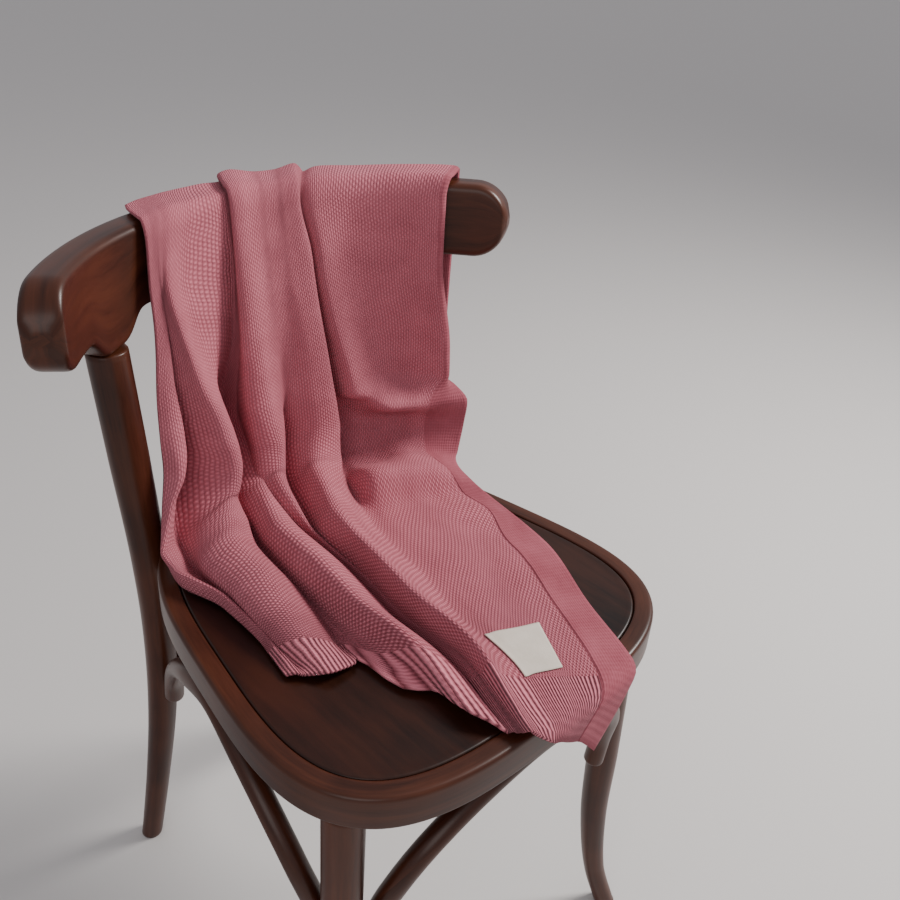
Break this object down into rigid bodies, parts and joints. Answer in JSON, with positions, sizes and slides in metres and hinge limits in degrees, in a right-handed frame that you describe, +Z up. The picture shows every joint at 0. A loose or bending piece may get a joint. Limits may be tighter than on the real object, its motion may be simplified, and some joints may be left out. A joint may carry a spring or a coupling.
{
  "type": "knitted baby blanket draped over a bentwood chair",
  "caption": "Small knitted blanket hung over a chair's curved back rail and down across its round-cornered seat, with soft folds and a sewn-on label at one corner.",
  "frame": {"origin": "middle of the whole object's bounding box, on the floor under the chair's feet", "axes": "+Z up, -Y the way a sitter faces, +X to a sitter's left"},
  "size_m": [0.495, 0.4898, 0.7823],
  "materials": {
    "knit": "matt pink knitting",
    "label": "off-white woven cotton",
    "wood": "dark brown satin varnish on beech",
    "seat": "dark brown satin varnish on plywood"
  },
  "bodies": {
    "root": {"seat_ring": "wood", "seat_panel": "seat", "back_rail": "wood", "front_leg_left": "wood", "front_leg_right": "wood", "rear_leg_left": "wood", "rear_leg_right": "wood", "brace_left": "wood", "brace_right": "wood", "brace_front": "wood", "brace_rear": "wood", "blanket": "knit", "label": "label"}
  },
  "joints": []
}
